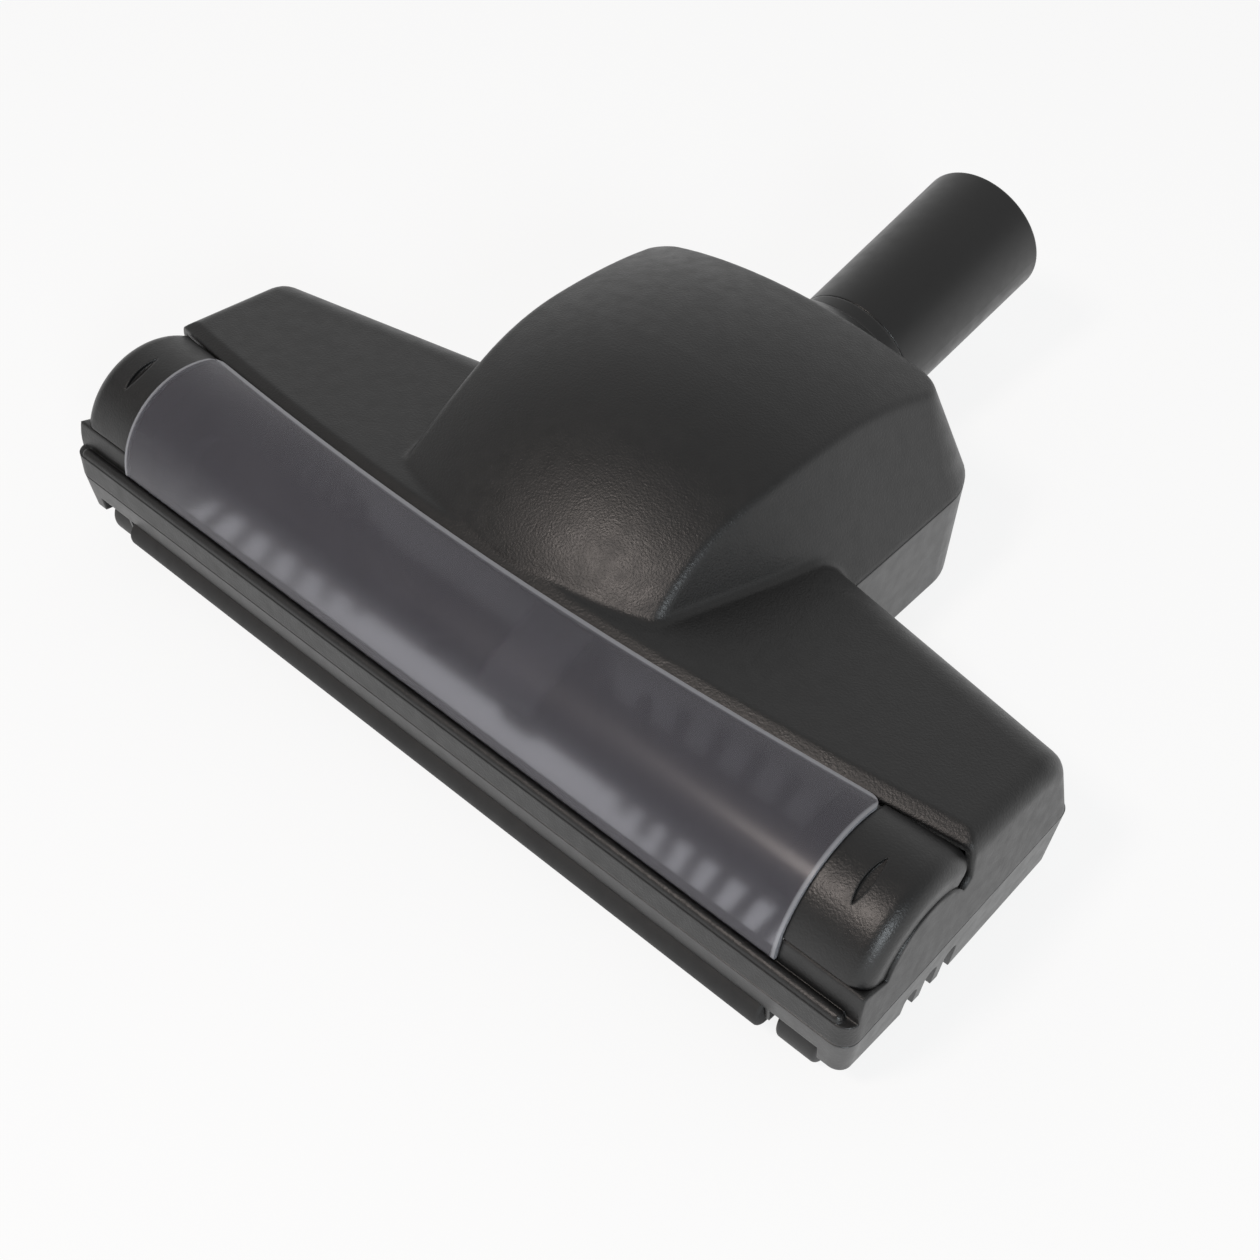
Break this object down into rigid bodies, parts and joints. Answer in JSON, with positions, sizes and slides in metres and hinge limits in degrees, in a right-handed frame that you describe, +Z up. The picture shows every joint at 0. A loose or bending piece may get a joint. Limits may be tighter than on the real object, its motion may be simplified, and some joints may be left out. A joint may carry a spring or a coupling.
{
  "type": "vacuum floor brush head",
  "caption": "Wide air-driven vacuum floor head with swept wings, a crowned turbine hump, a hinged clear brush cover and a tilting, swivelling tube for the wand.",
  "frame": {"origin": "on the floor under the middle of the whole head", "axes": "+X across the head to its right end, +Y from the front lip towards the neck, +Z up"},
  "size_m": [0.27, 0.2482, 0.0765],
  "materials": {
    "housing_black": "fine-grained satin",
    "cap_black": "satin",
    "window_smoke": "frosted translucent",
    "brush_plastic": "satin",
    "bristle_black": "stiff bristle",
    "shaft_steel": "ground",
    "bush_pale": "self-lubricating plastic",
    "belt_rubber": "matte",
    "guard_grey": "satin",
    "turbine_grey": "satin",
    "tube_black": "satin",
    "wheel_black": "matte",
    "strip_rubber": "matte",
    "screw_steel": "plated"
  },
  "bodies": {
    "head": {"upper_housing": "housing_black", "base_plate": "housing_black", "brush_bush_left": "bush_pale", "brush_bush_right": "bush_pale", "drive_belt": "belt_rubber", "belt_guard": "guard_grey", "turbine_bush_left": "bush_pale", "turbine_bush_right": "bush_pale", "rear_wheel_pin_left": "shaft_steel", "rear_wheel_pin_right": "shaft_steel", "front_roller_pin_left": "shaft_steel", "front_roller_pin_right": "shaft_steel", "bumper_strip": "strip_rubber", "housing_screws": "screw_steel"},
    "cover": {"cover_window": "window_smoke", "cover_cap_left": "cap_black", "cover_cap_right": "cap_black"},
    "brush": {"brush_core": "brush_plastic", "brush_bristles": "bristle_black", "brush_axle": "shaft_steel"},
    "turbine": {"turbine_wheel": "turbine_grey", "turbine_axle": "shaft_steel", "turbine_pulley": "bush_pale"},
    "neck": {"neck_elbow": "tube_black"},
    "tube": {"neck_tube": "tube_black"},
    "rear_wheel_left": {"rear_wheel_left": "wheel_black"},
    "rear_wheel_right": {"rear_wheel_right": "wheel_black"},
    "front_roller_left": {"front_roller_left": "wheel_black"},
    "front_roller_right": {"front_roller_right": "wheel_black"}
  },
  "joints": [
    {"name": "cover_hinge", "type": "hinge", "parent": "head", "child": "cover", "pos_m": [0, -0.1188, 0.03145], "axis": [1, 0, 0], "range_deg": [0, 92]},
    {"name": "brush_spin", "type": "hinge", "parent": "head", "child": "brush", "pos_m": [0, -0.09293, 0.0197], "axis": [1, 0, 0], "continuous": true},
    {"name": "turbine_spin", "type": "hinge", "parent": "head", "child": "turbine", "pos_m": [0, -0.04453, 0.042], "axis": [1, 0, 0], "continuous": true},
    {"name": "neck_tilt", "type": "hinge", "parent": "head", "child": "neck", "pos_m": [0, 0.02347, 0.0235], "axis": [1, 0, 0], "range_deg": [0, 36]},
    {"name": "tube_swivel", "type": "hinge", "parent": "neck", "child": "tube", "pos_m": [0, 0.0574, 0.02918], "axis": [0, 0.9863, 0.165], "continuous": true},
    {"name": "rear_wheel_left_spin", "type": "hinge", "parent": "head", "child": "rear_wheel_left", "pos_m": [-0.046, 0.01147, 0.01], "axis": [1, 0, 0], "continuous": true},
    {"name": "rear_wheel_right_spin", "type": "hinge", "parent": "head", "child": "rear_wheel_right", "pos_m": [0.046, 0.01147, 0.01], "axis": [1, 0, 0], "continuous": true},
    {"name": "front_roller_left_spin", "type": "hinge", "parent": "head", "child": "front_roller_left", "pos_m": [-0.121, -0.11373, 0.007], "axis": [1, 0, 0], "continuous": true},
    {"name": "front_roller_right_spin", "type": "hinge", "parent": "head", "child": "front_roller_right", "pos_m": [0.121, -0.11373, 0.007], "axis": [1, 0, 0], "continuous": true}
  ],
  "couplings": [
    {"joint": "brush_spin", "follows": "turbine_spin", "ratio": 0.57895}
  ]
}
